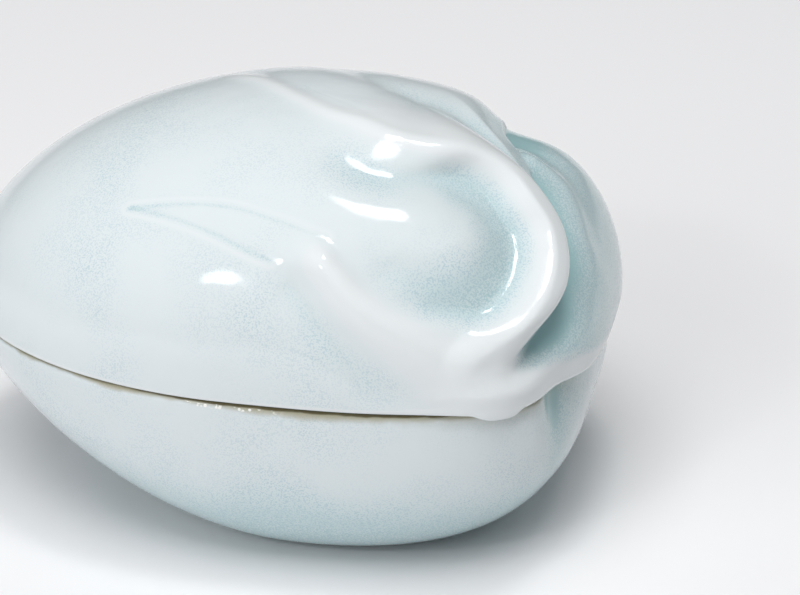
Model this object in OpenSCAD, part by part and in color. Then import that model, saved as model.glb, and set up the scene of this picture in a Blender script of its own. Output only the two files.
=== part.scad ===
// Covered incense box of glazed porcelain, shaped like a bud lying on its side.
// A hollow lid with two moulded leaves sits over a raised collar on a hollow base.
// The seam between lid and base is level. +X points to the blunt end and -Y to the side with the upper leaf.

/* [Outline at the seam] */
// Half the length of the outline, mm
half_length = 39; // [36:0.5:43]
// Half the width of the outline, mm
half_width = 29; // [27:0.5:33]
// Fullness of the outline at the pointed end, where 2 is an ellipse
point_power = 2.0; // [1.9:0.1:2.3]
// Fullness of the outline at the blunt end
blunt_power = 3.0; // [2.6:0.1:3.4]

/* [Lid] */
// Height of the lid above the seam, mm
lid_height = 25.7; // [24:0.1:29]
// How far the top of the lid leans to the blunt end, mm
lid_lean = 3.3; // [2:0.1:4.5]
// Fullness of the lid's curve across its sides
lid_side_power = 2.2; // [2:0.05:2.4]
// Fullness of the lid's curve along its ends
lid_end_power = 1.95; // [1.85:0.05:2.2]
// Thickness of the lid under the plain surface, mm
lid_wall = 4.0; // [3.8:0.1:4.6]

/* [Base] */
// Depth at which the base's curve would close if it had no foot, mm
base_depth = 24.8; // [22:0.1:27]
// Height that the flat foot cuts off the end of that curve, mm
foot_cut = 2.0; // [1.6:0.1:2.8]
// How far the foot leans to the blunt end, mm
base_lean = 7.4; // [6:0.1:8.5]
// Fullness of the base's curve across its sides
base_side_power = 3.2; // [2.8:0.1:3.4]
// Fullness of the base's curve at the pointed end
base_point_power = 1.7; // [1.65:0.05:1.9]
// Fullness of the base's curve at the blunt end
base_blunt_power = 1.9; // [1.8:0.05:2.1]
// Thickness of the floor over the foot, mm
floor_thickness = 4.4; // [4:0.1:5.5]

/* [Seam and collar] */
// Width of the level seat inside the edge of lid and base, mm
seat_width = 3.8; // [3.6:0.1:4.2]
// Gap between the lid's mouth and the collar, mm
collar_gap = 0.4; // [0.35:0.05:0.6]
// Thickness of the collar, mm
collar_thickness = 1.5; // [1.3:0.1:2]
// Height of the collar above the seam, mm
collar_height = 2.6; // [2:0.1:3]
// Room between the top of the collar and the turn of the lid's hollow, mm
collar_room = 0.6; // [0.4:0.1:1]
// How far the collar draws in toward its top, mm
collar_taper = 0.3; // [0.2:0.05:0.4]
// Rounding of the edges at the seam, mm
edge_round = 0.4; // [0.3:0.05:0.5]

/* [Upper leaf] */
// Height of the raised rim of the upper leaf, mm
rim_height = 1.8; // [1.2:0.05:2]
// Half the width of the raised rim, mm
rim_width = 1.7; // [1.4:0.1:2.2]
// Depth of the bowl inside the rim where it runs along the top, mm
bowl_depth = 1.7; // [1.2:0.05:1.9]
// How much deeper the bowl is toward the blunt end, mm
bowl_drop = 0.6; // [0.2:0.05:0.7]
// Reach of the bowl from its deepest line toward the middle of the leaf, mm
bowl_reach = 4.5; // [3.5:0.1:5.5]
// How far the broad part of the rim spreads over the top, mm
rim_spread = 10; // [8:0.5:11]

/* [Under the leaf] */
// Depth at which the lower leaf starts beside the rim, mm
under_depth = 1.7; // [1.3:0.05:1.8]
// Depth of the lower leaf at its own edge, mm
droop_depth = 0.8; // [0.5:0.05:1.2]
// Depth of the hollow at the blunt end between the leaves, mm
hollow_depth = 2.3; // [1.6:0.05:2.4]
// Reach of that hollow away from the leaves, mm
hollow_reach = 5.5; // [4.5:0.1:6.5]
// Half the width of the keel down the blunt end, mm
keel_width = 3.0; // [2.6:0.1:4]

/* [Stalks] */
// Height of each leaf's stalk ridge, mm
stalk_height = 1.5; // [1:0.05:1.8]
// Half the width of a stalk where it meets the lip, mm
stalk_foot = 4.2; // [3.6:0.1:5]
// Half the width of a stalk where it turns into the blade, mm
stalk_head = 2.2; // [2:0.1:2.8]
// Depth of the hollows on both sides of a stalk, mm
dimple_depth = 0.55; // [0.4:0.05:0.8]
// Height of the flat blade at its root, mm
blade_height = 0.2; // [0.1:0.05:0.5]
// Half the width of the blade at its root, mm
blade_width = 2.3; // [2:0.1:3]

/* [Lip] */
// How far the lid's lip swells out where a stalk meets it, mm
lip_swell = 1.6; // [1.5:0.05:2]
// How far that swelling hangs below the seam, mm
lip_dip = 0.7; // [0.4:0.05:0.9]
// Least gap between that hanging part and the base, mm
lip_gap = 0.5; // [0.45:0.05:0.6]
// How far the lip draws in beside the swelling, mm
lip_recess = 0.9; // [0.5:0.05:1.1]
// How far the base is drawn in under the lip of the blunt end, mm
neck_depth = 2.1; // [1.4:0.05:2.3]
// Depth of the grooves at both ends of that neck, mm
groove_depth = 0.5; // [0.3:0.05:0.7]
// How far the neck and grooves run down the base, mm
groove_drop = 8; // [6:0.5:9]

/* [Fineness] */
// Points around every ring
points_round = 96; // [80:4:104]
// Rings between the lip and the top of the lid
lid_rings = 38; // [28:1:39]
// Rings between the foot and the rim of the base
base_rings = 11; // [9:1:13]
// Rings up each hollow
hollow_rings = 7; // [6:1:9]

/* [Hidden] */

// Height of the seam above the table
seam_z = base_depth - foot_cut;

// Points per span of a relief line, and the turn that crowds the ring points at the leaves
span_steps = 3;
crowd = 34;
crowd_turn = 15;

// Relief lines as [longitude, latitude] in degrees from the middle of the seam
rim_path = [[165, 68], [-150, 83], [-45, 73], [-36, 61], [-25, 53], [-16.5, 45], [-13, 38.5], [-13, 33],
            [-15, 26], [-19, 21], [-23, 17.5], [-28, 14], [-34, 10.5], [-42, 7]];
back_path = [[48, 3], [45, 9], [44, 18], [42, 26], [36, 33], [27, 37], [17, 38.5], [8, 35.5],
             [-2, 30], [-7, 27], [-14, 21], [-22, 19], [-32, 20]];
keel_path = [[8, 33], [6, 26], [1, 21], [-3, 17], [-3, 12], [-2, 8], [0, 0]];
stalk_path = [[-38, 0], [-42, 4], [-47, 8.5], [-52, 12.5], [-58, 17.5], [-64, 23], [-69, 29], [-74, 34],
              [-82, 37.5], [-92, 39.5], [-104, 40.5], [-117, 39.5], [-129, 36.5]];

// Places along a stalk line, from 0 at the lip to 1 at the tip: the stalk's head and the root of its blade
head_at = 0.55;
blade_at = 0.66;

// Longitudes of the lip's swellings and recesses, the width of each, and the turn between the two leaves
stalk_lip = -40;
stalk_lip_turn = 8;
recess_lip = -26;
recess_lip_turn = 5;
groove_turn = 4;
leaf_turn = 8;

// Softness of the drop beside the rim, on the blunt side and more where the rim is broad or runs out
cliff_width = 1.5;
cliff_broad = 1.0;
cliff_end = 0.8;

// Small helpers for smooth shapes
function clamp01(x) = min(1, max(0, x));
function rise(x, a, b) = let (t = clamp01((x - a) / (b - a))) t * t * (3 - 2 * t);
function bump(x, w) = exp(-(x / w) * (x / w));
function ease(x, w) = 1 / (1 + exp(max(-60, min(60, -2 * x / w))));
function far_side(path) = [for (a = path) [leaf_turn - a[0], a[1]]];

// The plain egg above the seam
function plan_radius(lon) =
    let (n = cos(lon) < 0 ? point_power : blunt_power)
    pow(pow(abs(cos(lon)) / half_length, n) + pow(abs(sin(lon)) / half_width, n), -1 / n);
function ray(lon, lat) = [cos(lat) * cos(lon), cos(lat) * sin(lon), sin(lat)];
function lid_reach(lon, lat) =
    let (q = lid_side_power + (lid_end_power - lid_side_power) * pow(cos(lon), 2))
    pow(pow(cos(lat) / plan_radius(lon), q) + pow(sin(lat) / lid_height, q), -1 / q);
function on_egg(lon, lat) = ray(lon, lat) * lid_reach(lon, lat);
function snap(v) = on_egg(atan2(v[1], v[0]), asin(v[2] / norm(v)));

// A smooth line on the egg through the points of a path
function spline(a, b, c, d, t) =
    (2 * b + (c - a) * t + (2 * a - 5 * b + 4 * c - d) * t * t + (3 * b - a - 3 * c + d) * t * t * t) / 2;
function line_on_egg(path) =
    let (v = [for (a = path) ray(a[0], a[1])], last = len(path) - 1)
    [for (i = [0 : last - 1]) for (k = [0 : span_steps - (i == last - 1 ? 0 : 1)])
        snap(spline(v[max(0, i - 1)], v[i], v[i + 1], v[min(last, i + 2)], k / span_steps))];

// Distance from a point to a line, positive on the line's left seen from outside, and the place along it
function to_span(p, a, b) =
    let (ab = b - a, t = clamp01((p - a) * ab / (ab * ab)))
    [norm(p - a - ab * t), t, cross(ab, p - a) * p];
function to_line(p, pts) =
    let (all = [for (i = [0 : len(pts) - 2]) to_span(p, pts[i], pts[i + 1])],
         least = min([for (s = all) s[0]]),
         k = [for (i = [0 : len(all) - 1]) if (all[i][0] == least) i][0])
    [(all[k][2] < 0 ? -1 : 1) * least, (k + all[k][1]) / len(all)];

rim_line = line_on_egg(rim_path);
back_line = line_on_egg(back_path);
keel_line = line_on_egg(keel_path);
stalk_line = line_on_egg(stalk_path);
far_stalk_line = line_on_egg(far_side(stalk_path));

// The stalk ridge that climbs from the lip, the flat blade it turns into, and the dimples beside it
function stalk_relief(p, line, side) =
    let (at = to_line(p, line),
         d = side * at[0],
         s = at[1],
         foot = 1 - rise(s, 0, head_at),
         past = rise(s, head_at - 0.02, blade_at),
         tip = rise(s, blade_at, 1),
         w = stalk_head + (stalk_foot - stalk_head) * foot,
         steep = d < 0 ? 0.8 + 0.2 * foot : 1,
         ridge = stalk_height * (1 - 0.25 * foot) * (1 - past) * bump(d, w * steep),
         flat = blade_width * (1 - tip),
         blade = blade_height * past * (1 - tip) * (1 - rise(abs(d), flat - 0.6, flat + 0.6)),
         along = rise(s, 0.1, 0.35) * (1 - rise(s, 0.56, 0.68)),
         dimple = dimple_depth * along * (d > 0 ? bump(d - 1.7 * w, 0.7 * w) : bump(d + 2 * w, 1.1 * w)))
    ridge + blade - dimple;

// The raised rim of the upper leaf and the bowl inside it
function rim_relief(a, x, lat) =
    let (broad = 1 - rise(x, 13, 31),
         low = 1 - rise(lat, 22, 36),
         inner = rim_width + 0.2 + 0.7 * low + 1.5 * (1 - rise(x, 0, 13)),
         outer = rim_width + 0.7 * rim_spread * broad,
         tall = rise(x, -12, 0) * (0.4 + 0.6 * rise(x, 7, 13)) * (0.4 + 0.6 * rise(lat, 7, 16)))
    rim_height * tall * bump(a, a > 0 ? inner : outer);
function bowl_relief(a, x, lat) =
    let (low = 1 - rise(lat, 22, 36),
         middle = 4.8 + 2.2 * low,
         reach = a < middle ? 2.1 + 1.1 * low : bowl_reach)
    (bowl_depth + bowl_drop * low) * rise(x, 8, 17) * rise(lat, 11, 18)
    * bump(a - middle, reach) * ease(a, 0.6);

// The upper leaf, the lower leaf tucked under it, and the blunt end between them
function leaf_relief(p, lon, lat) =
    let (a = -to_line(p, rim_line)[0],
         b = -to_line(p, back_line)[0],
         k = to_line(p, keel_line)[0],
         x = p[0],
         broad = 1 - rise(x, 13, 31),
         edge = 0.8 + rim_spread * broad,
         cut = rise(x, 2, 12) * rise(lon, -41, -30),
         soft = cliff_width + cliff_broad * broad + cliff_end * (1 - rise(lon, -36, -22)),
         out = cut * ease(-a - edge, soft),
         beside = max(0, -a - edge + 0.3),
         tuck = max(under_depth * bump(beside, 3), droop_depth * (1 + rise(lon, 0, 30)) * bump(b, 4.5)),
         near = max(bump(max(0, beside - 1.5), hollow_reach - 1), bump(max(0, -b - 0.5), hollow_reach)),
         pit = hollow_depth * near * (1 - 0.85 * bump(k, keel_width)) * rise(lat, 2.5, 7),
         lower = ease(b, 0.5))
    rim_relief(a, x, lat) * (1 - out) - bowl_relief(a, x, lat) - out * (lower * tuck + (1 - lower) * pit);

// The lip swells at both stalks and draws in beside them
function both_sides(lon, at, turn) = bump(lon - at, turn) + bump(lon - leaf_turn + at, turn);
function lip_relief(lon) =
    lip_swell * both_sides(lon, stalk_lip, stalk_lip_turn)
    - lip_recess * both_sides(lon, recess_lip, recess_lip_turn);
function dip_at(lon) = lip_dip * rise(lip_relief(lon), 2 * edge_round + lip_gap, lip_swell);

function relief(lon, lat) =
    let (p = on_egg(lon, lat),
         near = stalk_relief(p, stalk_line, 1) * ease(-lon - 4, 3),
         far = stalk_relief(p, far_stalk_line, -1) * ease(lon - 12, 3),
         shut = rise(lat, 0, 4))
    leaf_relief(p, lon, lat) * shut + (near + far) * shut + lip_relief(lon) * (1 - rise(lat, 0, 9));

// Longitudes of the ring points, from -180 to 180, closer together at the leaves
function lon_at(i) =
    let (t = 360 * i / points_round - 180)
    t - crowd * (sin(t + crowd_turn) + sin(crowd_turn));
lons = [for (i = [0 : points_round - 1]) lon_at(i)];

// A level ring at a height, from the distance out at each longitude, shifted along X
function level_ring(radii, z, shift = 0) =
    [for (i = [0 : points_round - 1]) [radii[i] * cos(lons[i]) + shift, radii[i] * sin(lons[i]), z]];
function leaned(p, lean, depth) = [p[0] + lean * pow(clamp01(abs(p[2]) / depth), 1.5), p[1], p[2]];

// A closed body from rings stacked between two end points, with the patches that take the other diagonal
module body_from_rings(first, rings, last, turned = []) {
    n = points_round;
    count = len(rings);
    points = concat([first], [for (r = rings) for (p = r) p], [last]);
    caps = [for (i = [0 : n - 1]) [0, 1 + i, 1 + (i + 1) % n]];
    far = 1 + (count - 1) * n;
    ends = [for (i = [0 : n - 1]) [far + i, far + n, far + (i + 1) % n]];
    sides = [for (k = [0 : count - 2]) for (i = [0 : n - 1])
        let (a = 1 + k * n + i, b = 1 + k * n + (i + 1) % n)
        each turned[k] != undef && turned[k][i]
            ? [[a, a + n, b], [a + n, b + n, b]]
            : [[a, a + n, b + n], [a, b + n, b]]];
    polyhedron(points = points, faces = concat(caps, sides, ends), convexity = 6);
}

// Distances out at the seam
seam_plan = [for (lon = lons) plan_radius(lon)];
lip_plan = [for (i = [0 : points_round - 1]) seam_plan[i] + lip_relief(lons[i])];
mouth_plan = [for (r = seam_plan) r - seat_width];
collar_plan = [for (r = mouth_plan) r - collar_gap];
hollow_plan = [for (r = collar_plan) r - collar_thickness];

// Lid surfaces
function lid_outer(lon, lat) =
    leaned(ray(lon, lat) * (lid_reach(lon, lat) + relief(lon, lat)), lid_lean, lid_height);
function lid_ring(lat) = [for (lon = lons) lid_outer(lon, lat)];

// Whether each patch between two rings lies nearer to the true surface on its other diagonal
function turned_row(low_lat, high_lat, low, high) =
    [for (i = [0 : points_round - 1])
        let (j = (i + 1) % points_round,
             lon = (lons[i] + (j == 0 ? 180 : lons[j])) / 2,
             twice = 2 * lid_outer(lon, (low_lat + high_lat) / 2))
        norm(twice - low[j] - high[i]) < norm(twice - low[i] - high[j])];
function lid_inner(lon, lat) =
    leaned(ray(lon, lat) * (lid_reach(lon, lat) - lid_wall), lid_lean, lid_height);
lid_lats = [for (k = [lid_rings : -1 : 1]) 90 - 89 * pow(k / lid_rings, 0.8)];
lip_rings = [
    level_ring(mouth_plan, 0),
    level_ring([for (r = lip_plan) r - 3 * edge_round], 0),
    [for (i = [0 : points_round - 1])
        let (r = lip_plan[i] - 2 * edge_round, z = -dip_at(lons[i]))
        [r * cos(lons[i]), r * sin(lons[i]), z]],
    [for (i = [0 : points_round - 1])
        let (r = lip_plan[i] - edge_round, z = -dip_at(lons[i]))
        [r * cos(lons[i]), r * sin(lons[i]), z]]];
hollow_low = 10;
lid_hollow = concat(
    [for (k = [hollow_rings : -1 : 0])
        let (lat = hollow_low + (87 - hollow_low) * k / hollow_rings)
        [for (lon = lons) lid_inner(lon, lat)]],
    [level_ring(mouth_plan, collar_height + collar_room)]);

// Base surfaces
function base_radius(lon, drop) =
    let (end = cos(lon) < 0 ? base_point_power : base_blunt_power,
         q = base_side_power + (end - base_side_power) * pow(cos(lon), 2))
    plan_radius(lon) * pow(1 - pow(drop / base_depth, q), 1 / q);
function neck(lon) =
    let (far = leaf_turn - recess_lip)
    rise(lon, recess_lip - 7, recess_lip + 3) * (1 - rise(lon, far - 3, far + 7));
function groove(lon, drop) =
    (neck_depth * neck(lon) + groove_depth * both_sides(lon, recess_lip, groove_turn))
    * bump(drop, groove_drop);
function base_ring(drop) =
    level_ring([for (lon = lons) base_radius(lon, drop) - groove(lon, drop)], -drop,
        base_lean * pow(drop / base_depth, 1.5));
base_drops = [for (k = [0 : base_rings]) seam_z - (seam_z - edge_round) * pow(k / base_rings, 0.75)];
base_rim = [for (i = [0 : points_round - 1]) seam_plan[i] - edge_round - groove(lons[i], 0)];
collar_top = [for (r = collar_plan) r - collar_taper];
collar_inner = [for (r = hollow_plan) r + collar_taper];
hollow_depth_max = seam_z - floor_thickness;
hollow_shift = base_lean * 0.6;
function base_hollow(t) =
    level_ring([for (r = hollow_plan) r * pow(1 - pow(t, 3), 1 / 3)], -hollow_depth_max * t,
        hollow_shift * pow(t, 1.5));
hollow_steps = [for (k = [0 : hollow_rings]) sin(90 * k / (hollow_rings + 0.6))];

module lid() {
    outside = [for (lat = lid_lats) lid_ring(lat)];
    inside = concat(lid_hollow, lip_rings);
    turned = concat([for (r = inside) []],
        [for (k = [0 : lid_rings - 2])
            turned_row(lid_lats[k], lid_lats[k + 1], outside[k], outside[k + 1])]);
    top = leaned([0, 0, lid_height + relief(0, 90)], lid_lean, lid_height);
    roof = leaned([0, 0, lid_height - lid_wall], lid_lean, lid_height);
    color([0.80, 0.89, 0.89])
        translate([0, 0, seam_z])
            body_from_rings(roof, concat(inside, outside), top, turned);
}

module base() {
    walls = [for (d = base_drops) base_ring(d)];
    rim = [level_ring(base_rim, 0),
           level_ring(collar_plan, 0),
           level_ring(collar_plan, collar_height - edge_round),
           level_ring(collar_top, collar_height),
           level_ring(collar_inner, collar_height)];
    cave = [for (t = hollow_steps) base_hollow(t)];
    under = [base_lean * pow(seam_z / base_depth, 1.5), 0, -seam_z];
    bottom = [hollow_shift, 0, -hollow_depth_max];
    color([0.76, 0.86, 0.87])
        translate([0, 0, seam_z])
            body_from_rings(under, concat(walls, rim, cave), bottom);
}

base();
lid();
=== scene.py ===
# %% [markdown]
# # A porcelain incense box
# The box is a glazed bud lying on its side, cut level into a base and a lid.
# Two leaves are moulded on the lid. One lies over the other at the blunt end,
# and each grows from a stalk that starts at the lip.
# The CAD parts give the size and the motion. This script gives the looks:
# a finer skin for both halves, the celadon glaze, and a small studio.

import bpy
import numpy as np
from mathutils import Matrix


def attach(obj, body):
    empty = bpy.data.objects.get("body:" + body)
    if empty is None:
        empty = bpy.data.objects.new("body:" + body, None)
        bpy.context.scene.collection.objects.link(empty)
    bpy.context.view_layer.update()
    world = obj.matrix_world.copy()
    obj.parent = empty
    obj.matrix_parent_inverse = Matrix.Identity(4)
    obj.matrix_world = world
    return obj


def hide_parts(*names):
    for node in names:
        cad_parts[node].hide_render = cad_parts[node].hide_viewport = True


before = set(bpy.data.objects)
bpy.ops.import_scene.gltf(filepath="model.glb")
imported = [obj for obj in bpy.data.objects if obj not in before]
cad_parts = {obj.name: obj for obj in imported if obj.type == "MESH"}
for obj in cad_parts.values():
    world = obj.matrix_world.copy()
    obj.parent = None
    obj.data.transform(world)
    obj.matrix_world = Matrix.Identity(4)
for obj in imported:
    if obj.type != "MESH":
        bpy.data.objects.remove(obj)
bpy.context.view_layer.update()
MM = 0.001


# %% [markdown]
# ## Four soft curves
# Clay that was pressed in a mould and glazed has no hard steps. Its forms could
# be sculpted by hand, but then they could not be measured or moved. Here every
# form is mixed from four curves: a ramp, a rounded ridge, a soft step and a
# bend with a rounded corner.

# %% Soft curves
def rise(x, low, high, start=0):
    """Smooth ramp: start below low, 1 above high, and t*t*(3 - 2t) of the way between."""
    t = np.clip((x - low) / (high - low), 0, 1)
    return start + (1 - start) * t * t * (3 - 2 * t)


def bump(x, width):
    """Rounded ridge: e to the minus (x / width) squared."""
    return np.exp(-(x / width) ** 2)


def ease(x, width):
    """Soft step from 0 to 1, centred on x = 0: half of 1 + tanh(x / width)."""
    return 0.5 * (1 + np.tanh(x / width))


def knee(x, width):
    """Near 0 before x = 0 and near x after it, with a rounded corner: the sum of a soft step."""
    return 0.5 * width * np.logaddexp(0, 2 * x / width)


print("half way up a ramp:", rise(0.5, 0, 1), " one width off a ridge:", bump(1, 1).round(3))


# %% [markdown]
# ## The plain egg
# Seen from above, the seam is an ellipse at the pointed end and fuller at the
# blunt end. The lid and base are the same outline drawn together upward and
# downward. A powered ellipse has one number for its fullness, so it follows
# the photograph closer than a scaled sphere would.
# Directions are a longitude, 0 at the blunt end, and a latitude above the seam.

# %% Seam outline and lid
HALF_LENGTH, HALF_WIDTH = 39.0, 29.0
POINT_POWER, BLUNT_POWER = 2.0, 3.0
LID_HEIGHT, LID_SIDE, LID_END = 25.7, 2.2, 1.95


def plan_radius(lon):
    """Distance out at the seam: (|cos/length|^n + |sin/width|^n)^(-1/n), n by end."""
    c, s = np.cos(np.radians(lon)), np.sin(np.radians(lon))
    n = np.where(c < 0, POINT_POWER, BLUNT_POWER)
    return ((np.abs(c) / HALF_LENGTH) ** n + (np.abs(s) / HALF_WIDTH) ** n) ** (-1 / n)


def ray(lon, lat):
    """Unit direction from longitude and latitude in degrees."""
    a, b = np.radians(lon), np.radians(lat)
    return np.stack([np.cos(b) * np.cos(a), np.cos(b) * np.sin(a), np.sin(b) + 0 * a], -1)


def lid_reach(lon, lat):
    """Distance to the plain lid: ((cos lat/plan)^q + (sin lat/height)^q)^(-1/q)."""
    q = LID_SIDE + (LID_END - LID_SIDE) * np.cos(np.radians(lon)) ** 2
    c, s = np.abs(np.cos(np.radians(lat))), np.abs(np.sin(np.radians(lat)))
    return ((c / plan_radius(lon)) ** q + (s / LID_HEIGHT) ** q) ** (-1 / q)


BLUNT_SIDE_POINT = np.array([0.0, 90.0, 180.0])
print("seam outline", plan_radius(BLUNT_SIDE_POINT).round(1), "mm out at blunt end, side and point")

# %% Base wall and lean
BASE_DEPTH, FOOT_CUT = 24.8, 2.0
BASE_SIDE, BASE_POINT, BASE_BLUNT = 3.2, 1.7, 1.9
LID_LEAN, BASE_LEAN, LEAN_POWER = 3.3, 7.4, 1.5
SEAM_Z = BASE_DEPTH - FOOT_CUT


def base_radius(lon, drop):
    """Distance out at a depth below the seam: plan * (1 - (drop/depth)^q)^(1/q)."""
    c = np.cos(np.radians(lon))
    q = BASE_SIDE + (np.where(c < 0, BASE_POINT, BASE_BLUNT) - BASE_SIDE) * c ** 2
    return plan_radius(lon) * (1 - (drop / BASE_DEPTH) ** q) ** (1 / q)


def leaning(amount, share):
    """Shift along X toward the blunt end at a share of the height or depth: amount * share^1.5."""
    return amount * np.clip(share, 0, 1) ** LEAN_POWER


def lean_lid(p):
    """Points of the lid, each shifted along X by its height."""
    q = p.copy()
    q[..., 0] += leaning(LID_LEAN, np.abs(p[..., 2]) / LID_HEIGHT)
    return q


print("seam at", SEAM_Z, "mm, foot outline", base_radius(BLUNT_SIDE_POINT, SEAM_Z).round(1), "mm out")


# %% [markdown]
# ## Lines that the relief follows
# A potter draws the leaves on the clay first. The lines could be curve objects
# laid on the mesh, but plain numbers are easier to compare and change. Each
# line is a handful of directions, joined by a smooth spline and laid on the
# egg. A height then depends on how far a point is from the line, and on which
# side.

# %% Splines and distances
SPAN_STEPS = 10
FAR_AWAY = 1e9


def direction(p):
    """Longitude and latitude of points, in degrees."""
    z = p[..., 2] / np.linalg.norm(p, axis=-1)
    return np.degrees(np.arctan2(p[..., 1], p[..., 0])), np.degrees(np.arcsin(z))


def line_on_egg(path):
    """Cubic spline that passes through the directions of a path, pushed out to the egg."""
    v = ray(*np.array(path, float).T)
    v = np.concatenate([v[:1], v, v[-1:]])
    t = np.linspace(0, 1, SPAN_STEPS, endpoint=False)[None, :, None]
    a, b, c, d = (v[k:len(v) - 3 + k][:, None, :] for k in range(4))
    square, cube = 2 * a - 5 * b + 4 * c - d, 3 * b - a - 3 * c + d
    s = (2 * b + (c - a) * t + square * t ** 2 + cube * t ** 3) / 2
    s = np.concatenate([s.reshape(-1, 3), v[-1:]])
    s /= np.linalg.norm(s, axis=1, keepdims=True)
    return s * lid_reach(*direction(s))[:, None]


def to_line(p, line):
    """Signed distance to a line, positive on its left, and the place along it from 0 to 1."""
    best = np.full(p.shape[:-1], FAR_AWAY)
    side, place = np.ones_like(best), np.zeros_like(best)
    for k, (a, b) in enumerate(zip(line[:-1], line[1:])):
        ab, ap = b - a, p - a
        t = np.clip(ap @ ab / (ab @ ab), 0, 1)
        d = np.linalg.norm(ap - t[..., None] * ab, axis=-1)
        nearer = d < best
        best = np.where(nearer, d, best)
        side = np.where(nearer, np.where((np.cross(ab, ap) * p).sum(-1) < 0, -1, 1), side)
        place = np.where(nearer, (k + t) / (len(line) - 1), place)
    return side * best, place


print("steps in each span of a line:", SPAN_STEPS)

# %% The drawn lines
LEAF_TURN = 8
RIM = [(146, 49), (148, 60), (152, 72), (-160, 84), (-62, 77), (-43, 68), (-36, 61), (-25, 53), (-16.5, 45),
       (-13, 38.5), (-13, 33), (-15, 26), (-19, 21), (-23, 17.5), (-28, 14), (-34, 10.5), (-42, 7)]
BACK = [(48, 3), (45, 9), (44, 18), (42, 26), (36, 33), (27, 37), (17, 38.5), (8, 35.5),
        (-2, 30), (-7, 27), (-14, 21), (-22, 19), (-32, 20)]
KEEL = [(8, 33), (6, 26), (1, 21), (-3, 17), (-3, 12), (-2, 8), (0, 0)]
STALK = [(-38, 0), (-42, 4), (-47, 8.5), (-52, 12.5), (-58, 17.5), (-64, 23), (-69, 29), (-74, 34),
         (-82, 37.5), (-92, 39.5), (-104, 40.5), (-117, 39.5), (-129, 36.5)]
VEIN_UP = [(-70, 37), (-74, 38.5), (-83, 41.4), (-99.7, 43.8), (-115.5, 41.6), (-129, 36.4)]
VEIN_LOW = [(-83.5, 32.5), (-92.4, 35), (-102, 37.3), (-115.8, 38.1), (-129, 36.4)]


def far_side(path):
    """The same line on the far side, mirrored and turned toward the pointed end."""
    return [(LEAF_TURN - lon, lat) for lon, lat in path]


twin_paths = {"stalk": STALK, "vein_up": VEIN_UP, "vein_low": VEIN_LOW}
paths = {"rim": RIM, "back": BACK, "keel": KEEL, **twin_paths}
paths.update({"far_" + name: far_side(path) for name, path in twin_paths.items()})
lines = {name: line_on_egg(path) for name, path in paths.items()}
print("points in each line", {name: len(line) for name, line in lines.items()})

# %% [markdown]
# ## Stalk and blade
# A stalk climbs from the lip as a round ridge and narrows, with a dimple
# pressed in on both sides. At its head it turns and runs out as a low pointed
# blade with a scratched outline. A swept tube would need to be joined to the
# skin, so the stalk is a height over the egg, measured across its line.

# %% Stalk relief
# Heights and widths in mm, places along the line from 0 to 1, dimples in stalk widths.
STALK_HEIGHT, STALK_FOOT, STALK_HEAD = 1.5, 4.2, 2.2
HEAD_AT, BLADE_AT, HEAD_LAP = 0.55, 0.66, 0.02
FOOT_SINK, LEAF_SIDE_STEEP = 0.25, 0.8
BLADE_HEIGHT, BLADE_WIDTH, BLADE_SOFT = 0.10, 2.3, 0.9
DIMPLE_DEPTH, DIMPLE_START, DIMPLE_STOP, FLANK_LONGER = 0.55, (0.1, 0.35), (0.38, 0.54), 0.14
FLANK_AT, FLANK_WIDTH, LEAF_AT, LEAF_WIDTH = 1.7, 0.7, 2.0, 1.1


def stalk_relief(p, side):
    """Ridge along the stalk line that sinks into a flat blade, less a dimple on each side."""
    d, s = to_line(p, lines[side + "stalk"])
    d = -d if side else d
    flank = d > 0
    foot = 1 - rise(s, 0, HEAD_AT)
    past = rise(s, HEAD_AT - HEAD_LAP, BLADE_AT)
    tip = rise(s, BLADE_AT, 1)
    w = STALK_HEAD + (STALK_FOOT - STALK_HEAD) * foot
    steep = np.where(d < 0, LEAF_SIDE_STEEP + (1 - LEAF_SIDE_STEEP) * foot, 1)
    ridge = STALK_HEIGHT * (1 - FOOT_SINK * foot) * (1 - past) * bump(d, w * steep)
    flat = BLADE_WIDTH * (1 - tip)
    blade = BLADE_HEIGHT * past * (1 - tip) * (1 - rise(np.abs(d), flat - BLADE_SOFT, flat + BLADE_SOFT))
    along = rise(s, *DIMPLE_START) * (1 - rise(s - FLANK_LONGER * flank, *DIMPLE_STOP))
    pressed = np.where(flank, bump(d - FLANK_AT * w, FLANK_WIDTH * w), bump(d + LEAF_AT * w, LEAF_WIDTH * w))
    return ridge + blade - DIMPLE_DEPTH * along * pressed


print("stalk up to", stalk_relief(lines["stalk"], "").max().round(2), "mm high on its line")

# %% Scratched outline of the blades
VEIN_WIDTH, BURR_SHARE, BURR_AT, BURR_WIDTH = 0.30, 0.8, 0.75, 0.35


def vein_lines(p):
    """Outline of both blades: 1 in the scratch and below 0 on the burr just outside it."""
    total = 0
    for name, outside in (("vein_up", -1), ("vein_low", 1), ("far_vein_up", 1), ("far_vein_low", -1)):
        d = to_line(p, lines[name])[0]
        total = total + bump(d, VEIN_WIDTH) - BURR_SHARE * bump(d - outside * BURR_AT, BURR_WIDTH)
    return total


print("middle of a scratch:", vein_lines(lines["vein_up"][SPAN_STEPS:SPAN_STEPS + 1]).round(2))

# %% [markdown]
# ## Upper leaf, lower leaf and blunt end
# The upper leaf has a raised rim that curls over, with a channel inside it.
# Outside the rim the surface drops to the lower leaf, which is tucked under,
# and behind both edges the blunt end shows as a hollow with a keel. Separate
# sheets would leave gaps that moulded clay does not have, so all of it is one
# height over the egg, with a steep step where one leaf lies over the other.
# A pair of numbers is where a form sets in and where it is full, X in mm and
# angles in degrees. A third number is the share that it starts with.

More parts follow.
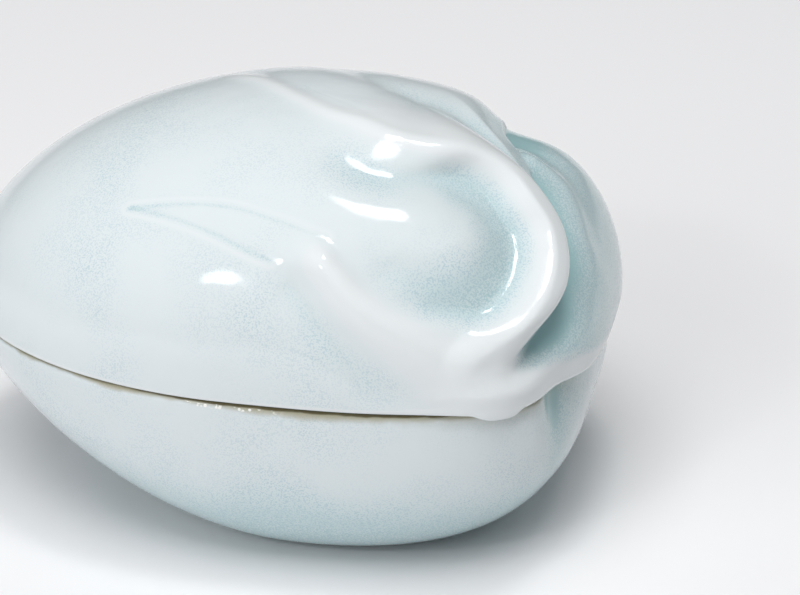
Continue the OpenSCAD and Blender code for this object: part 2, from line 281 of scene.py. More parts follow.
# %% Rim and bowl of the upper leaf
RIM_HEIGHT, RIM_WIDTH, RIM_BROAD = 1.8, 1.7, 7.0
CHANNEL_DEPTH, CHANNEL_FIRST, BOWL_REACH, BOWL_SHORTER = 1.5, 0.6, 5.5, 2.0
WALL_TOP, WALL_TOP_LOW = 0.6, 1.7
WALL_FOOT, WALL_FOOT_LOW, WALL_FOOT_LEFT = 2.7, 2.3, 3.3
WALL_ROUND, WALL_ROUND_HIGH, TOP_TIGHTER = 0.45, 0.5, 0.2
NARROW_X, LEFT_X, HIGH_LAT = (13, 31), (12, 20), (30, 45)
CREST_X, CREST_FULL_X, CREST_LAT = (-3, 11), (13, 19, 0.45), (5, 15, 0.1)
CHANNEL_X, CHANNEL_FULL_X, CHANNEL_LAT = (1, 12), (13, 22), (12.5, 18)
CHANNEL_SLANT, SLANT_LON = 0.35, -40


def rim_relief(a, x, lon, lat):
    """Crest along the rim line, a rounded wall down its inside, and a bowl that fades over the leaf."""
    broad, left = 1 - rise(x, *NARROW_X), 1 - rise(x, *LEFT_X)
    low = 1 - rise(lat, *HIGH_LAT)
    crest = RIM_HEIGHT * rise(x, *CREST_X) * rise(x, *CREST_FULL_X) * rise(lat, *CREST_LAT)
    deeper = CHANNEL_FIRST * rise(x, *CHANNEL_X) + (1 - CHANNEL_FIRST) * rise(x, *CHANNEL_FULL_X)
    sunk = CHANNEL_DEPTH * deeper * rise(lat + CHANNEL_SLANT * (lon - SLANT_LON), *CHANNEL_LAT)
    top = WALL_TOP + WALL_TOP_LOW * low
    foot = WALL_FOOT + WALL_FOOT_LOW * low + WALL_FOOT_LEFT * left
    soft = WALL_ROUND + WALL_ROUND_HIGH * (1 - low)
    wall = (crest + sunk) * (knee(a - top, soft - TOP_TIGHTER) - knee(a - foot, soft)) / (foot - top)
    rim = crest * bump(np.minimum(a, 0), RIM_WIDTH + RIM_BROAD * broad) - wall
    return rim * bump(np.maximum(a - foot, 0), BOWL_REACH - BOWL_SHORTER * left)


print("rim", RIM_HEIGHT, "mm over the egg, channel", CHANNEL_DEPTH, "mm under it")

# %% Tongue, lower leaf, hollow and keel
TONGUE_HEIGHT, TONGUE_WIDTH, TONGUE_START_X, TONGUE_STOP_X = 0.24, 1.3, (-16, -8), (13, 19)
EDGE_OUT, EDGE_BROAD, EDGE_LAP = 0.8, 10.0, 0.3
CLIFF_WIDTH, CLIFF_BROAD, CLIFF_END = 0.45, 2.6, 1.3
CLIFF_X, CLIFF_LON, CLIFF_SHARP_LON = (-10, 10), (-41, -30), (-36, -22)
UNDER_DEPTH, UNDER_REACH, UNDER_X = 1.7, 3.0, (8, 22, 0.4)
DROOP_DEPTH, DROOP_REACH, DROOP_LON = 0.8, 4.5, (0, 30)
HOLLOW_DEPTH, HOLLOW_REACH, HOLLOW_SHORTER, HOLLOW_LAT = 2.3, 5.5, 1.0, (3.5, 9.5)
UPPER_GAP, LOWER_GAP, LOWER_EDGE = 1.5, 0.5, 0.4
KEEL_WIDTH, KEEL_SHARE = 3.0, 0.85
BLUNT_GLAZE, TONGUE_PALE = 1.0, 0.9


def leaf_relief(p, lon, lat):
    """Rim, bowl and tongue inside the leaf's edge, the tucked lower leaf and the hollow outside it.
    Also gives the extra glaze: more at the blunt end, less along the tongue."""
    x = p[..., 0]
    a = -to_line(p, lines["rim"])[0]
    b = -to_line(p, lines["back"])[0]
    k = to_line(p, lines["keel"])[0]
    tongue = rise(x, *TONGUE_START_X) * (1 - rise(x, *TONGUE_STOP_X)) * bump(a, TONGUE_WIDTH)
    upper = rim_relief(a, x, lon, lat) + TONGUE_HEIGHT * tongue
    broad, end = 1 - rise(x, *NARROW_X), 1 - rise(lon, *CLIFF_SHARP_LON)
    edge = EDGE_OUT + EDGE_BROAD * broad
    cliff = ease(-a - edge, CLIFF_WIDTH + CLIFF_BROAD * broad + CLIFF_END * end)
    out = rise(x, *CLIFF_X) * rise(lon, *CLIFF_LON) * cliff
    beside = np.maximum(0, -a - edge + EDGE_LAP)
    under = UNDER_DEPTH * rise(x, *UNDER_X) * bump(beside, UNDER_REACH)
    droop = DROOP_DEPTH * (1 + rise(lon, *DROOP_LON)) * bump(b, DROOP_REACH)
    by_upper = bump(np.maximum(0, beside - UPPER_GAP), HOLLOW_REACH - HOLLOW_SHORTER)
    by_lower = bump(np.maximum(0, -b - LOWER_GAP), HOLLOW_REACH)
    keel = KEEL_SHARE * bump(k, KEEL_WIDTH)
    pit = HOLLOW_DEPTH * np.maximum(by_upper, by_lower) * (1 - keel) * rise(lat, *HOLLOW_LAT)
    lower = ease(b, LOWER_EDGE)
    height = upper * (1 - out) - out * (lower * np.maximum(under, droop) + (1 - lower) * pit)
    return height, BLUNT_GLAZE * out * (1 - lower) - TONGUE_PALE * tongue


rim_height = leaf_relief(lines["rim"], *direction(lines["rim"]))[0]
print("along the rim line, from", rim_height.min().round(2), "to", rim_height.max().round(2), "mm")

# %% [markdown]
# ## The lip, and all the relief together
# The lip swells out where a stalk meets it and hangs a little over the base.
# Beside that it draws in, and the base is drawn in under the whole blunt end.
# Both halves take these places from the same values, so they always meet. A
# separate rim piece would show a joint that the moulded clay does not have.

# %% Lip, neck and grooves
STALK_LIP, STALK_LIP_TURN, RECESS_LIP, RECESS_LIP_TURN = -40, 8, -26, 5
LIP_SWELL, LIP_DIP, LIP_GAP, LIP_RECESS, EDGE_ROUND = 1.6, 0.7, 0.35, 0.9, 0.4
NECK_DEPTH, NECK_OUTSIDE, NECK_INSIDE = 2.1, 7, 3
GROOVE_DEPTH, GROOVE_TURN, GROOVE_DROP = 0.8, 4, 8.0


def both_sides(lon, at, width):
    """A ridge at a longitude and the same ridge at its place on the far side."""
    return bump(lon - at, width) + bump(lon - LEAF_TURN + at, width)


def blunt_end(lon):
    """1 round the blunt end between the two stalks, 0 elsewhere."""
    far_recess = LEAF_TURN - RECESS_LIP
    start = rise(lon, RECESS_LIP - NECK_OUTSIDE, RECESS_LIP + NECK_INSIDE)
    return start * (1 - rise(lon, far_recess - NECK_INSIDE, far_recess + NECK_OUTSIDE))


def lip_relief(lon):
    """Swelling at both stalks less the recess beside each."""
    swell = LIP_SWELL * both_sides(lon, STALK_LIP, STALK_LIP_TURN)
    return swell - LIP_RECESS * both_sides(lon, RECESS_LIP, RECESS_LIP_TURN)


def lip_dip(lon):
    """How far the lip hangs below the seam: only where it swells past its own edge."""
    return LIP_DIP * rise(lip_relief(lon), 2 * EDGE_ROUND + LIP_GAP, LIP_SWELL)


def groove(lon, drop):
    """Neck under the blunt end's lip and a groove at each end of it, both fading downward."""
    grooves = GROOVE_DEPTH * both_sides(lon, RECESS_LIP, GROOVE_TURN)
    return (NECK_DEPTH * blunt_end(lon) + grooves) * bump(drop, GROOVE_DROP)


at_stalk, at_recess = lip_relief(STALK_LIP).round(2), lip_relief(RECESS_LIP).round(2)
print("lip", at_stalk, "mm out at a stalk and", at_recess, "mm beside it")

# %% Whole relief
NEAR_LON, FAR_LON, SIDE_SOFT = 4, 12, 3
FORMS_FULL_LAT, LIP_GONE_LAT = 4, 9
VEIN_DEPTH, VEIN_GLAZE = 0.03, 0.85


def relief(lon, lat):
    """Height over the plain lid, in mm, and the extra glaze, at every direction given."""
    p = ray(lon, lat) * lid_reach(lon, lat)[..., None]
    leaf, extra = leaf_relief(p, lon, lat)
    near = stalk_relief(p, "") * ease(-lon - NEAR_LON, SIDE_SOFT)
    far = stalk_relief(p, "far_") * ease(lon - FAR_LON, SIDE_SOFT)
    veins = vein_lines(p)
    forms = leaf + (near + far) - VEIN_DEPTH * veins
    height = forms * rise(lat, 0, FORMS_FULL_LAT) + lip_relief(lon) * (1 - rise(lat, 0, LIP_GONE_LAT))
    return height, extra + VEIN_GLAZE * veins


print("forms are full from", FORMS_FULL_LAT, "degrees above the seam")

# %% [markdown]
# ## One closed skin from rings
# A moulded half has an outside, an inside and an edge between them. A shell
# with a Solidify modifier would give an even wall, but the seat and the collar
# are not even. So each half is one closed skin: an end point, rings stacked
# from one surface to the other, and an end point again. The ring points crowd
# together at the leaves, where the forms are small.

# %% Skin maker
ROUND_POINTS, CROWD, CROWD_TURN = 400, 34, 15
turn = np.linspace(-180, 180, ROUND_POINTS, endpoint=False)
ring_lon = turn - CROWD * np.sin(np.radians(turn + CROWD_TURN))
ring_lon = (ring_lon + 180) % 360 - 180


def level(radius, z, shift=0.0):
    """Rings at heights from their distances out, shifted along X."""
    a = np.radians(ring_lon)
    return np.stack([radius * np.cos(a) + shift, radius * np.sin(a), z + 0 * a], -1)


def closed_skin(name, first, rings, last, **values):
    """Mesh object from end points and rings, in mm over the seam, with one attribute per value."""
    rows, cols = rings.shape[:2]
    points = np.concatenate([[first], rings.reshape(-1, 3), [last]])
    points = (points + [0, 0, SEAM_Z]) * MM
    i, j = np.meshgrid(np.arange(rows - 1), np.arange(cols), indexing="ij")
    here, beside = 1 + i * cols + j, 1 + i * cols + (j + 1) % cols
    quads = np.stack([here, beside, beside + cols, here + cols], -1).reshape(-1, 4)
    a = np.arange(cols)
    b = (a + 1) % cols
    end = 1 + (rows - 1) * cols
    first_fan = np.stack([0 * a, 1 + b, 1 + a], -1)
    last_fan = np.stack([end + a, end + b, 0 * a + len(points) - 1], -1)
    mesh = bpy.data.meshes.new(name)
    mesh.from_pydata(points.tolist(), [], quads.tolist() + first_fan.tolist() + last_fan.tolist())
    mesh.polygons.foreach_set("use_smooth", np.ones(len(mesh.polygons), bool))
    for key, value in values.items():
        layer = mesh.attributes.new(key, "FLOAT", "POINT")
        with_ends = np.concatenate([value[:1, 0], value.ravel(), value[-1:, 0]])
        layer.data.foreach_set("value", with_ends.astype(np.float32))
    mesh.update()
    piece = bpy.data.objects.new(name, mesh)
    bpy.context.scene.collection.objects.link(piece)
    print(name, len(points), "points,", 2 * len(quads) + 2 * cols, "triangles")
    return piece


gaps = np.diff(ring_lon) % 360
print("ring points", gaps.min().round(2), "to", gaps.max().round(2), "degrees apart")

# %% [markdown]
# ## The lid
# The lid is a hollow dome that sits on the base's flat seat. Its rings run from
# the roof of the hollow down to the mouth, across the seat, round the lip and
# up the outside to the top. The mesh also carries three values for the glaze:
# its depth, where the clay is bare, and the distance from the base's edge.

# %% Lid surfaces
SEAT_WIDTH, LID_WALL, COLLAR_HEIGHT, COLLAR_ROOM = 3.8, 4.0, 2.6, 0.6
LID_ROWS, LOWEST_LAT, HIGHEST_LAT = 170, 0.5, 89.5
HOLLOW_ROWS, ROOF_LAT, MOUTH_LAT = 30, 88, 10
LIP_ROUND, LIP_CORNER = 0.25, 0.3
seam_plan = plan_radius(ring_lon)
lip_plan = seam_plan + lip_relief(ring_lon)
mouth_plan = seam_plan - SEAT_WIDTH
dip = lip_dip(ring_lon)

hollow_lat = np.linspace(ROOF_LAT, MOUTH_LAT, HOLLOW_ROWS)[:, None]
hollow_lon = np.broadcast_to(ring_lon, (HOLLOW_ROWS, ROUND_POINTS))
hollow_reach = lid_reach(hollow_lon, hollow_lat) - LID_WALL
lid_hollow = lean_lid(ray(hollow_lon, hollow_lat) * hollow_reach[..., None])

seat = np.stack([level(mouth_plan, COLLAR_HEIGHT + COLLAR_ROOM),
                 level(mouth_plan, 0),
                 level(lip_plan - 3 * EDGE_ROUND, 0),
                 level(lip_plan - 2 * EDGE_ROUND, -dip),
                 level(lip_plan - LIP_ROUND, -dip),
                 level(lip_plan - LIP_CORNER * LIP_ROUND, LIP_CORNER * LIP_ROUND - dip)])

lat = np.linspace(LOWEST_LAT, HIGHEST_LAT, LID_ROWS)[:, None]
lon = np.broadcast_to(ring_lon, (LID_ROWS, ROUND_POINTS))
height, extra_glaze = relief(lon, lat + 0 * lon)
outside = lean_lid(ray(lon, lat) * (lid_reach(lon, lat) + height)[..., None])
print("relief from", height.min().round(2), "to", height.max().round(2), "mm")

# %% Lid skin
FAR_FROM_SEAM = 9.0
EDGE_PALE, EDGE_BAND, EDGE_FADE = 2.6, 0.7, (0.3, 1.3)
LIP_BAND, LIP_BAND_AT, LIP_BAND_TURN = 5.4, -30, 14
lid_rings = np.concatenate([lid_hollow, seat, outside])
inner_rows = HOLLOW_ROWS + len(seat)
band = EDGE_BAND + LIP_BAND * both_sides(ring_lon, LIP_BAND_AT, LIP_BAND_TURN)
pale_edge = EDGE_PALE * (1 - rise(lat / band, *EDGE_FADE))
lid_depth = np.concatenate([np.zeros((inner_rows, ROUND_POINTS)), extra_glaze - height - pale_edge])
lid_bare = np.zeros(lid_rings.shape[:2])
# Bare clay across the flat of the seat, as far as the lip.
lid_bare[HOLLOW_ROWS + 1:HOLLOW_ROWS + 4] = 1
lid_edge = np.full(lid_rings.shape[:2], FAR_FROM_SEAM)
roof_z = LID_HEIGHT - LID_WALL
roof = [leaning(LID_LEAN, roof_z / LID_HEIGHT), 0, roof_z]
crown = outside[-1].mean(0)
lid = closed_skin("lid_skin", roof, lid_rings, crown, depth=lid_depth, bare=lid_bare, edge=lid_edge)

# %% [markdown]
# ## The base
# The base is a bowl with a flat foot, and a collar stands inside its seat to
# keep the lid in place. It could be turned as a lathe profile, but its outline
# is not round and the neck under the blunt end is on one side only. So rings
# run from the middle of the foot out, up the wall with its grooves, over the
# rim and the collar, and down into the hollow.

# %% Base surfaces
WALL_ROWS, WALL_CROWD, SHOULDER_ROWS, SHOULDER = 90, 0.8, 12, 0.9
COLLAR_GAP, COLLAR_THICKNESS, COLLAR_TAPER = 0.4, 1.5, 0.3
FLOOR_THICKNESS, CAVE_TURN, CAVE_POWER, CAVE_LEAN = 4.4, 84, 3, 0.6
bend = np.radians(np.linspace(0, 90, SHOULDER_ROWS))[:, None]
climb = np.linspace(0, 1, WALL_ROWS, endpoint=False)[:, None] ** WALL_CROWD
drops = np.concatenate([SEAM_Z - (SEAM_Z - SHOULDER) * climb, SHOULDER * (1 - np.sin(bend))])
inset = np.concatenate([0 * climb, SHOULDER * (1 - np.cos(bend))])
wall_out = base_radius(ring_lon, drops) - groove(ring_lon, drops) - inset
wall = level(wall_out, -drops, leaning(BASE_LEAN, drops / BASE_DEPTH))

collar_plan = mouth_plan - COLLAR_GAP
hollow_plan = collar_plan - COLLAR_THICKNESS
collar = np.stack([level(collar_plan, 0),
                   level(collar_plan, COLLAR_HEIGHT - EDGE_ROUND),
                   level(collar_plan - COLLAR_TAPER, COLLAR_HEIGHT),
                   level(hollow_plan + COLLAR_TAPER, COLLAR_HEIGHT),
                   level(hollow_plan, COLLAR_HEIGHT - EDGE_ROUND)])

down = np.sin(np.radians(np.linspace(0, CAVE_TURN, HOLLOW_ROWS)))[:, None]
floor_drop = SEAM_Z - FLOOR_THICKNESS
cave_out = hollow_plan * (1 - down ** CAVE_POWER) ** (1 / CAVE_POWER)
cave = level(cave_out, -floor_drop * down, leaning(CAVE_LEAN * BASE_LEAN, down))
print("wall, collar and hollow in", len(wall), len(collar), len(cave), "rings")

# %% Base skin
NECK_GLAZE, STREAK_GLAZE, STREAK_TURN = 0.4, 2.4, 3.5
FOOT_GLAZE, FOOT_TOP, FOOT_LOW = 1.6, 6.0, 21.0
base_rings = np.concatenate([wall, collar, cave])
streaks = STREAK_GLAZE * both_sides(ring_lon, RECESS_LIP, STREAK_TURN) * bump(drops, GROOVE_DROP)
foot_pool = FOOT_GLAZE * rise(drops, FOOT_TOP, FOOT_LOW)
base_depth = np.zeros(base_rings.shape[:2])
base_depth[:len(wall)] = NECK_GLAZE * groove(ring_lon, drops) + streaks + foot_pool
base_bare = np.zeros(base_rings.shape[:2])
# Bare clay on the seat and the collar, and under the foot.
base_bare[len(wall):len(wall) + 4] = 1
base_bare[0] = 1
base_edge = np.full(base_rings.shape[:2], FAR_FROM_SEAM)
base_edge[:len(wall)] = drops
under = [leaning(BASE_LEAN, SEAM_Z / BASE_DEPTH), 0, -SEAM_Z]
bottom = [CAVE_LEAN * BASE_LEAN, 0, -floor_drop]
base = closed_skin("base_skin", under, base_rings, bottom, depth=base_depth, bare=base_bare, edge=base_edge)


# %% [markdown]
# ## A small kit for shader maths
# Materials are graphs of nodes. They could be wired by hand in the editor, or
# with one line of code for each link. Wrapping a socket in a class lets the
# maths be written as plain expressions, which are shorter and easier to read.

# %% Shader kit
class Wire:
    """One output socket. Arithmetic on wires and numbers adds Math nodes."""

    def __init__(self, graph, socket):
        self.graph, self.socket = graph, socket

    def math(self, operation, first, second):
        """One Math node on two values."""
        return self.graph.node("ShaderNodeMath", {"operation": operation}, {0: first, 1: second})

    def __add__(self, other): return self.math("ADD", self, other)
    def __radd__(self, other): return self.math("ADD", other, self)
    def __sub__(self, other): return self.math("SUBTRACT", self, other)
    def __rsub__(self, other): return self.math("SUBTRACT", other, self)
    def __mul__(self, other): return self.math("MULTIPLY", self, other)
    def __rmul__(self, other): return self.math("MULTIPLY", other, self)
    def __truediv__(self, other): return self.math("DIVIDE", self, other)
    def __rtruediv__(self, other): return self.math("DIVIDE", other, self)

    def ramp(self, low, high):
        """0 at low, 1 at high, smooth between."""
        return self.graph.node("ShaderNodeMapRange", {"interpolation_type": "SMOOTHSTEP"},
                               {"Value": self, "From Min": low, "From Max": high})


class Graph:
    """The nodes of one new material, with the Object coordinates at hand as place."""

    def __init__(self, name):
        self.material = bpy.data.materials.new(name)
        self.material.use_nodes = True
        self.tree = self.material.node_tree
        self.tree.nodes.clear()
        self.place = self.node("ShaderNodeTexCoord", out="Object")

    def node(self, kind, settings=None, sockets=None, out=0):
        """Add any node: its settings are set first, then each socket gets its link or value."""
        node = self.tree.nodes.new(kind)
        for key, value in (settings or {}).items():
            setattr(node, key, value)
        for key, value in (sockets or {}).items():
            if isinstance(value, Wire):
                self.tree.links.new(value.socket, node.inputs[key])
            else:
                node.inputs[key].default_value = value
        return Wire(self, node.outputs[out]) if len(node.outputs) else None

    def mix(self, factor, first, second):
        """Blend from the first colour to the second by a factor."""
        return self.node("ShaderNodeMix", {"data_type": "RGBA"}, {0: factor, 6: first, 7: second}, out=2)

    def noise(self, scale, detail):
        """Soft noise about 0.5, with scale features to a metre."""
        return self.node("ShaderNodeTexNoise", None, {"Vector": self.place, "Scale": scale, "Detail": detail})

    def surface(self, shader):
        """Link a shader to the material's output, and give the material."""
        self.node("ShaderNodeOutputMaterial", None, {"Surface": shader})
        return self.material


print("shader kit:", Wire.__doc__)

# %% [markdown]
# ## Celadon glaze
# Celadon is a clear glaze with a little iron. Where it runs thin over a crest
# the white body shows, and where it pools in a hollow it turns blue-green with
# fine blue specks. A noise alone would put the colour anywhere, so the relief
# depth is stored on the mesh, and the colour follows the form.

# %% Glaze colour
THIN = (0.74, 0.77, 0.78, 1)
PALE = (0.675, 0.73, 0.75, 1)
POOLED = (0.34, 0.54, 0.55, 1)
SPECK = (0.36, 0.52, 0.58, 1)
MIDDLE = 0.5
# How far a noise moves a border, the depths in mm between which it fades, and its strength.
POOL_BROAD, POOL_DEPTH = 0.8, (-0.2, 2.9)
THIN_CLOUD, THIN_HEIGHT, THIN_SHARE = 0.7, (-0.1, 1.1), 0.85
SPECK_GRAIN, SPECK_SHARE = (0.48, 0.62), 0.62
SPECK_MORE, SPECK_CLOUD, SPECK_LESS, SPECK_AREA = 1.4, 0.4, 0.5, (-0.1, 0.6)
FROST_GRAIN, FROST_START, FROST_STOP, FROST_SHARE = (0.40, 0.52), (0.35, 0.6), (0.7, 1.0), 0.5


def glaze_colour(graph, depth, broad, cloud, grain):
    """Pale glaze, blue-green in depths and white on crests, with specks and frost in the grain."""
    drift, mottle = broad - MIDDLE, cloud - MIDDLE
    pool = (depth + mottle + drift * POOL_BROAD).ramp(*POOL_DEPTH)
    thin = (drift + mottle * THIN_CLOUD - depth).ramp(*THIN_HEIGHT)
    colour = graph.mix(pool, PALE, POOLED)
    colour = graph.mix(thin * THIN_SHARE, colour, THIN)
    specked = ((pool + cloud - SPECK_CLOUD) * SPECK_MORE - thin * SPECK_LESS).ramp(*SPECK_AREA)
    colour = graph.mix(grain.ramp(*SPECK_GRAIN) * specked * SPECK_SHARE, colour, SPECK)
    frosted = pool.ramp(*FROST_START) * (1 - pool.ramp(*FROST_STOP))
    return graph.mix((1 - grain.ramp(*FROST_GRAIN)) * frosted * FROST_SHARE, colour, PALE)


print("glaze goes from", PALE[:3], "to", POOLED[:3])

# %% [markdown]
# ## Stain, painted shade and beads at the seam
# In the kiln, the base's edge took a brown stain, and a few small beads of glaze set just under it. A dark
# line along the edge is painted shadow for the gap under the lid. A grey band below it is part stain and part
# painted shade under the lid's edge, and it is wider at the blunt end, where the lip hangs over. The stain
# and the beads could be modelled, but they are finer than the mesh. So all of these are painted by the
# distance below the edge, which the mesh carries in mm, and by the place along X in metres.

# %% Seam stain and painted shade
STAIN = (0.34, 0.29, 0.15, 1)
# Grey colour of the band below the edge, part stain and part painted shade.
SHADE_AND_HAZE = (0.34, 0.35, 0.28, 1)
# Near-black colour of the painted shadow in the gap under the lid.
GAP_SHADOW = (0.085, 0.068, 0.025, 1)
STAIN_X, STAIN_CLOUD, STAIN_FADE, STAIN_SHARE = (-0.020, 0.008), (0.35, 0.65), (0.2, 1.0), 0.8
STAIN_RIGHT, STAIN_NOISE, STAIN_LEAST = 0.5, 0.6, 0.1
# The grey band below the edge is part stain and part painted shade under the lid's edge. Its last pair widens
# it at the blunt end as painted shade under the overhanging lip.
SHADE_AND_HAZE_X, SHADE_AND_HAZE_SHARE, SHADE_AND_HAZE_FADE = (-0.010, 0.020), 0.4, (0.1, 1.0)
SHADE_AND_HAZE_NOISE, LIP_SHADE_X, LIP_SHADE_REACH = 1.6, (0.018, 0.028), 1.4
# The dark line along the edge is painted shadow in the gap between lid and base.
LINE_X, LINE_WIDER, LINE_WAVER, LINE_FADE = (-0.020, 0.010), 0.2, 0.3, (0.10, 0.30)
GAP_SHADOW_X, GAP_SHADOW_MORE, GAP_SHADOW_LEAST = (-0.030, -0.002), 0.5, 0.40


def stained_and_shaded(graph, colour, edge, along, cloud, patch):
    """A colour under a brown stain, a wide grey band that is part stain and part painted shade under the
    lid's edge, and a dark line of painted shadow in the gap, each fading below the edge.
    """
    ragged = (cloud.ramp(*STAIN_CLOUD) + patch) * STAIN_NOISE
    reach = along.ramp(*STAIN_X) * STAIN_RIGHT + ragged + STAIN_LEAST
    stain = 1 - (edge / reach).ramp(*STAIN_FADE)
    colour = graph.mix(stain * STAIN_SHARE, colour, STAIN)
    # Painted shade: the grey band reaches further down at the blunt end, under the overhanging lip.
    spread = (patch + cloud) * SHADE_AND_HAZE_NOISE + along.ramp(*LIP_SHADE_X) * LIP_SHADE_REACH
    shade_and_haze = (1 - (edge / spread).ramp(*SHADE_AND_HAZE_FADE)) * along.ramp(*SHADE_AND_HAZE_X)
    colour = graph.mix(shade_and_haze * SHADE_AND_HAZE_SHARE, colour, SHADE_AND_HAZE)
    # Painted shadow: a dark line just below the edge, where the gap under the lid is in shade.
    wavering = edge + (patch - MIDDLE) * LINE_WAVER - along.ramp(*LINE_X) * LINE_WIDER
    line = 1 - wavering.ramp(*LINE_FADE)
    return graph.mix(line * (along.ramp(*GAP_SHADOW_X) * GAP_SHADOW_MORE + GAP_SHADOW_LEAST), colour, GAP_SHADOW)


stain_most = round(STAIN_LEAST + STAIN_RIGHT + 2 * STAIN_NOISE, 2)
print("stain reaches", STAIN_LEAST, "to", stain_most, "mm below the edge")

# %% Glaze beads
PEARL = (0.88, 0.88, 0.84, 1)
BEAD_SCALE, BEAD_FADE = 1900.0, (0.30, 0.45)
BEAD_TOP, BEAD_LOW = (0.35, 0.5), (0.7, 0.9)
BEAD_START_X, BEAD_STOP_X = (-0.006, -0.004), (0.004, 0.007)


def beads(graph, edge, along):
    """1 on round beads in a short row under the edge: near the middles of a cell pattern."""
    cells = graph.node("ShaderNodeTexVoronoi", None, {"Vector": graph.place, "Scale": BEAD_SCALE})
    row = edge.ramp(*BEAD_TOP) * (1 - edge.ramp(*BEAD_LOW))
    stretch = along.ramp(*BEAD_START_X) * (1 - along.ramp(*BEAD_STOP_X))
    return (1 - cells.ramp(*BEAD_FADE)) * row * stretch


print("beads about", round(1 / (BEAD_SCALE * MM), 2), "mm apart")

# %% [markdown]
# ## The finish of both halves
# Fired glaze is smooth and glossy with a faint swell, and the bare clay of the
# seat, the collar and the underside of the foot is buff and dull. Two materials
# could meet at a row of faces. Here one shader has its colour and roughness
# changed by a mask, so the border can be ragged.

# %% Glaze material
CLAY = (0.48, 0.39, 0.27, 1)
CLAY_RAGGED, CLAY_FADE = 0.8, (0.4, 0.7)
BROAD_NOISE, CLOUD_NOISE, PATCH_NOISE = (28.0, 2.0), (90.0, 3.0), (420.0, 2.0)
GRAIN_NOISE, SWELL_NOISE = (5200.0, 2.0), (350.0, 1.0)
SWELL_STRENGTH, SWELL_HEIGHT, GRAIN_HEIGHT = 0.12, 0.0004, 0.15
GLAZE_ROUGHNESS, CLAY_ROUGHER, GLAZE_IOR = 0.09, 0.6, 1.5


def celadon(name):
    """Principled glaze coloured by relief depth, with a brown stain and painted shade at the edge, beads,
    bare clay and a swell.
    """
    graph = Graph(name)
    depth, bare, edge = (graph.node("ShaderNodeAttribute", {"attribute_name": key}, out="Fac")
                         for key in ("depth", "bare", "edge"))
    along = graph.node("ShaderNodeSeparateXYZ", None, {"Vector": graph.place})
    broad, cloud, patch = graph.noise(*BROAD_NOISE), graph.noise(*CLOUD_NOISE), graph.noise(*PATCH_NOISE)
    grain, swell = graph.noise(*GRAIN_NOISE), graph.noise(*SWELL_NOISE)
    colour = glaze_colour(graph, depth, broad, cloud, grain)
    colour = stained_and_shaded(graph, colour, edge, along, cloud, patch)
    bead = beads(graph, edge, along)
    colour = graph.mix(bead, colour, PEARL)
    clay = (bare + (cloud - MIDDLE) * CLAY_RAGGED).ramp(*CLAY_FADE)
    colour = graph.mix(clay, colour, CLAY)
    bumped = graph.node("ShaderNodeBump", None, {
        "Strength": SWELL_STRENGTH, "Distance": SWELL_HEIGHT, "Height": swell + grain * GRAIN_HEIGHT + bead})
    shader = graph.node("ShaderNodeBsdfPrincipled", None, {
        "Base Color": colour, "Roughness": clay * CLAY_ROUGHER + GLAZE_ROUGHNESS,
        "Normal": bumped, "IOR": GLAZE_IOR})
    return graph.surface(shader)


for piece, node in ((lid, "lid"), (base, "base")):
    piece.data.materials.append(celadon(node + "_celadon"))
    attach(piece, node)
    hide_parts(node)
print("glazed", lid.name, base.name)

# %% [markdown]
# ## Studio
# The floor is pale and the world dim and even. Two small lights, one overhead
# and one at the front left, give the crisp streaks on the glaze. Three large
# soft lights give the even brightness and the shadow. One big light could do it
# all, but its reflection would veil the glaze, so the soft lights are kept out
# of reflections.

# %% Floor and world
FLOOR_REACH, FLOOR_PAINT, FLOOR_ROUGHNESS = 4.0, (0.85, 0.85, 0.86, 1), 0.8
WORLD_TINT, WORLD_STRENGTH = (0.9, 0.92, 0.95, 1), 0.10
corners = [(x * FLOOR_REACH, y * FLOOR_REACH, 0) for x, y in ((-1, -1), (1, -1), (1, 1), (-1, 1))]
floor_mesh = bpy.data.meshes.new("floor")
floor_mesh.from_pydata(corners, [], [(0, 1, 2, 3)])
floor = bpy.data.objects.new("floor", floor_mesh)
bpy.context.scene.collection.objects.link(floor)
paint = bpy.data.materials.new("floor_paint")
paint.use_nodes = True
paint_inputs = paint.node_tree.nodes["Principled BSDF"].inputs
paint_inputs["Base Color"].default_value = FLOOR_PAINT
paint_inputs["Roughness"].default_value = FLOOR_ROUGHNESS
floor_mesh.materials.append(paint)

world = bpy.data.worlds.new("studio")
bpy.context.scene.world = world
world.use_nodes = True
world.node_tree.nodes["Background"].inputs["Color"].default_value = WORLD_TINT
world.node_tree.nodes["Background"].inputs["Strength"].default_value = WORLD_STRENGTH
print("floor", 2 * FLOOR_REACH, "m wide, world at", WORLD_STRENGTH)

# %% Lights
AIM = np.array([0, 0, 0.025])


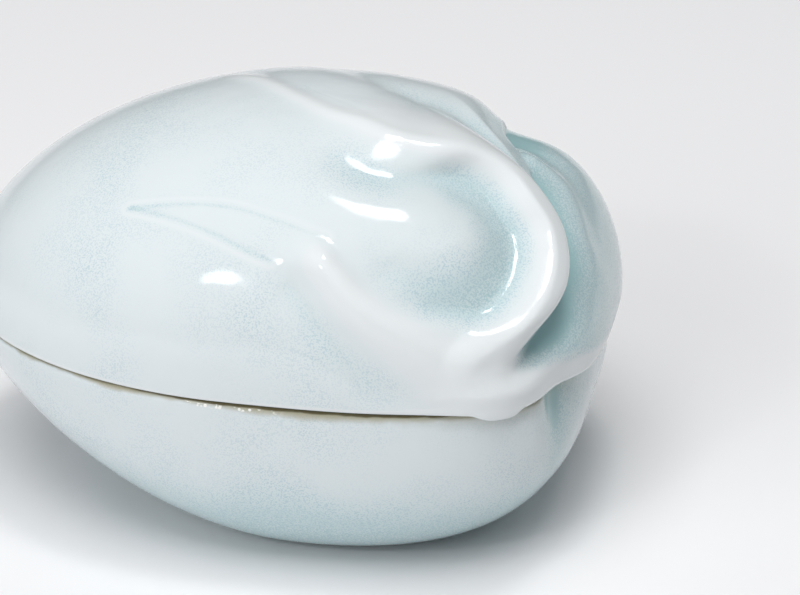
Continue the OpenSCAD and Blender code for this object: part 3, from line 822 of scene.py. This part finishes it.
def facing(away, place):
    """Matrix of an object at a place that looks back along a direction, with its top up."""
    side = np.cross([0, 0, 1.0], away)
    side = side / np.linalg.norm(side)
    columns = np.stack([side, np.cross(away, side), away, place], 1)
    return Matrix(columns.tolist() + [[0, 0, 0, 1]])


def area_light(name, azimuth, elevation, distance, size, watts):
    """Rectangular light aimed at the middle of the box from a direction in degrees."""
    data = bpy.data.lights.new(name, "AREA")
    data.shape, data.size, data.size_y, data.energy = "RECTANGLE", size[0], size[1], watts
    lamp = bpy.data.objects.new(name, data)
    bpy.context.scene.collection.objects.link(lamp)
    away = ray(azimuth, elevation)
    lamp.matrix_world = facing(away, away * distance + AIM)
    print(name, "at", azimuth, "round and", elevation, "up,", watts, "W")
    return lamp


area_light("overhead", azimuth=20, elevation=84, distance=0.9, size=(0.14, 0.19), watts=1.6)
area_light("front_left", azimuth=-113, elevation=34, distance=0.9, size=(0.11, 0.06), watts=0.6)
SOFT_DISTANCE, SOFT_SIZE = 1.2, (0.9, 0.9)
for name, azimuth, elevation, watts in (
        ("soft_front", -90, 73, 9.8), ("soft_side", -120, 26, 5.3), ("soft_back", 40, 50, 1.6)):
    area_light(name, azimuth, elevation, SOFT_DISTANCE, SOFT_SIZE, watts).visible_glossy = False

# %% [markdown]
# ## Camera
# The camera was found from the outline and the seam: 12 degrees round from the
# front, 26 degrees up, with a long lens. It could be aimed at the box by a
# constraint, but the photograph is not centred on the box, so its place and
# its direction are given apart.

# %% Camera
EYE = (0.0761, -0.2945, 0.1701)
EYE_AZIMUTH, EYE_ELEVATION = -90 + 12, 26
camera_data = bpy.data.cameras.new("camera")
camera_data.sensor_width, camera_data.lens = 36.0, 128.07
camera_data.clip_start = 0.01
camera = bpy.data.objects.new("camera", camera_data)
bpy.context.scene.collection.objects.link(camera)
camera.matrix_world = facing(ray(EYE_AZIMUTH, EYE_ELEVATION), EYE)
bpy.context.scene.camera = camera
bpy.context.scene.view_settings.view_transform = "Standard"
print("camera at", EYE, "m, lens", round(camera_data.lens, 2), "mm")

# %% [markdown]
# The dressed box must stay inside the CAD box.
